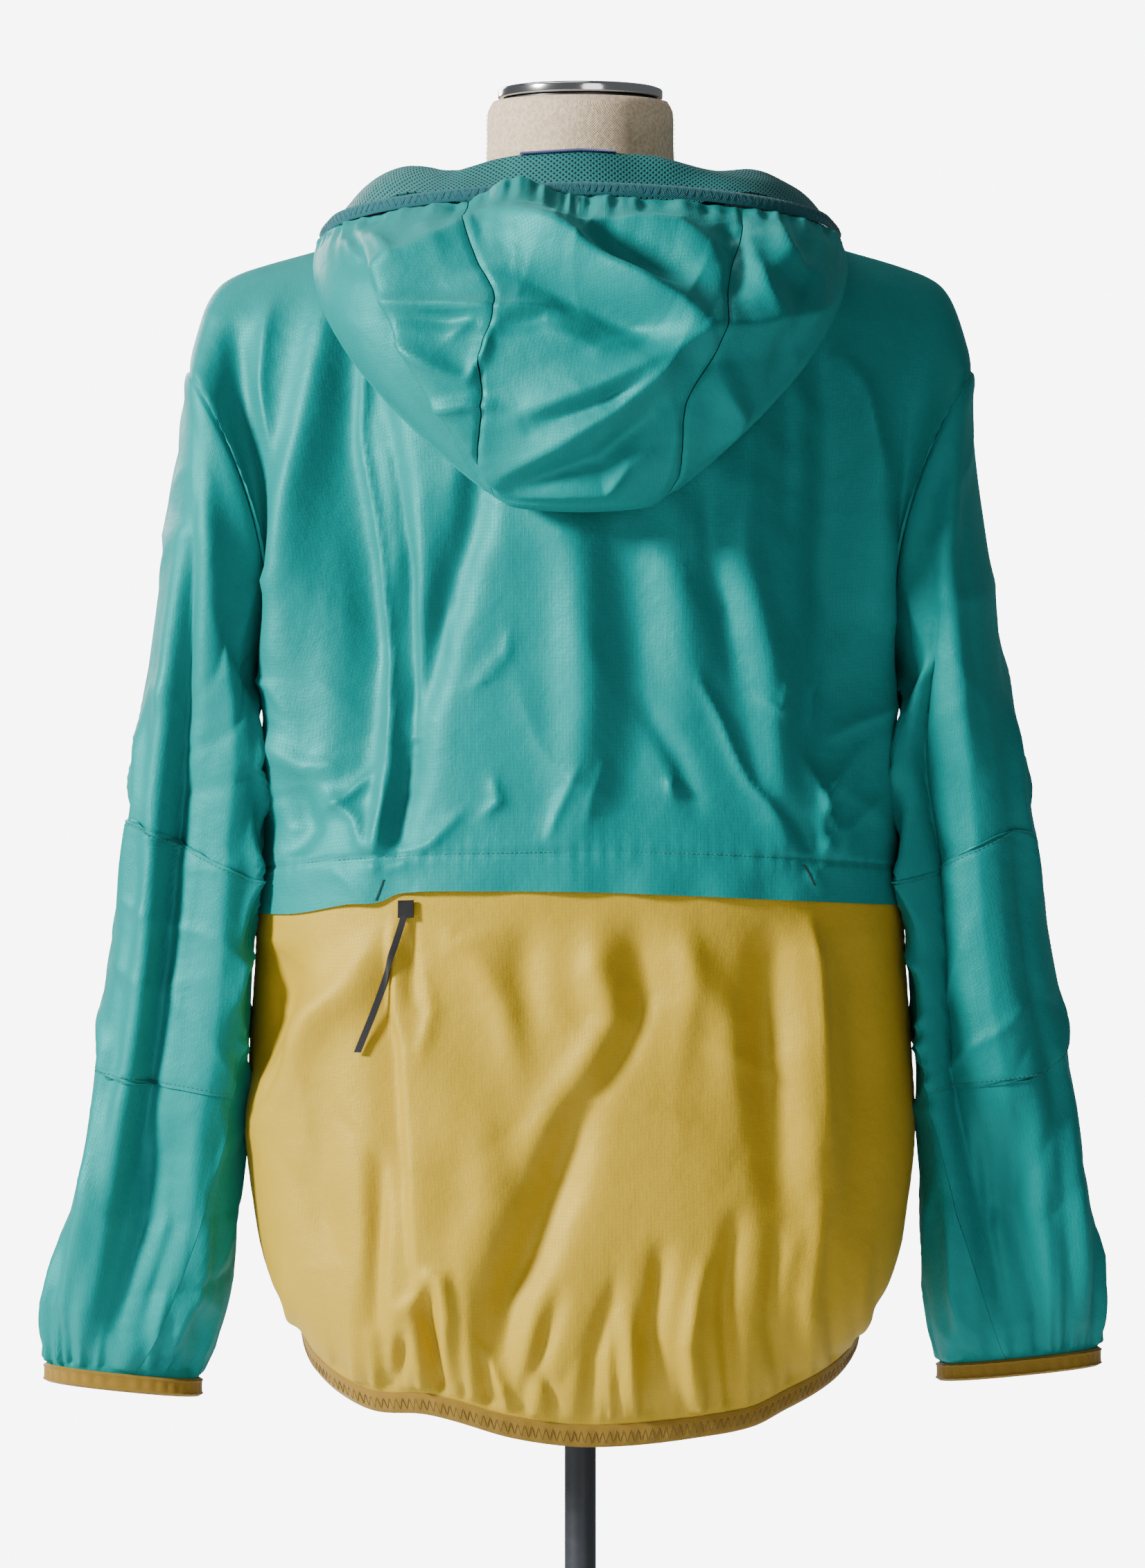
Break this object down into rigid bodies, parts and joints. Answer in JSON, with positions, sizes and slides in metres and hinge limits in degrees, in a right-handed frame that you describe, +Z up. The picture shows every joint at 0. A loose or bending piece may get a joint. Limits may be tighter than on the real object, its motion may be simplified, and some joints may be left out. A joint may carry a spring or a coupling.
{
  "type": "windbreaker jacket on dress form stand",
  "caption": "Hooded two-colour windbreaker, hood down, worn by a limbless linen dress form with a steel neck cap on a black pole and round base.",
  "frame": {"origin": "centre of the stand's round base, on its underside, where it meets the floor", "axes": "+Z up along the pole; +Y towards the jacket's front, so the back and the lowered hood face -Y; +X towards the wearer's right"},
  "size_m": [0.6742, 0.3942, 1.5442],
  "materials": {
    "shell_teal": "thin plain-woven shell cloth with a satin sheen",
    "shell_gold": "thin plain-woven shell cloth with a satin sheen",
    "binding_gold": "folded elastic binding, zigzag stitched",
    "binding_teal": "folded elastic binding, zigzag stitched",
    "lining_mesh": "fine mesh",
    "label_navy": "plain woven tape",
    "zip_tape": "matt black tape",
    "zip_metal": "satin black",
    "linen": "coarse natural linen",
    "cap_steel": "polished steel",
    "stand_black": "satin black"
  },
  "bodies": {
    "jacket_on_form": {"back_upper": "shell_teal", "back_lower": "shell_gold", "front_upper_left": "shell_teal", "front_upper_right": "shell_teal", "front_lower_left": "shell_gold", "front_lower_right": "shell_gold", "hem_binding": "binding_gold", "sleeve_upper_left": "shell_teal", "sleeve_under_left": "shell_teal", "elbow_patch_left": "shell_teal", "cuff_binding_left": "binding_gold", "sleeve_upper_right": "shell_teal", "sleeve_under_right": "shell_teal", "elbow_patch_right": "shell_teal", "cuff_binding_right": "binding_gold", "hood_left": "shell_teal", "hood_right": "shell_teal", "hood_middle": "shell_teal", "hood_lining": "lining_mesh", "neck_label": "label_navy", "hood_binding": "binding_teal", "front_zip_left": "zip_tape", "front_zip_right": "zip_tape", "front_slider": "zip_metal", "pocket_zip": "zip_tape", "pocket_slider": "zip_metal", "pocket_pull": "zip_tape", "form_body": "linen", "cap_spacer": "stand_black", "neck_cap": "cap_steel", "pole": "stand_black", "pole_head": "stand_black", "base": "stand_black", "base_collar": "stand_black"},
    "front_pull": {"front_pull": "zip_metal"}
  },
  "joints": [
    {"name": "front_pull_swing", "type": "hinge", "parent": "jacket_on_form", "child": "front_pull", "pos_m": [0, 0.10423, 1.37316], "axis": [1, 0, 0], "range_deg": [0, 150]}
  ]
}
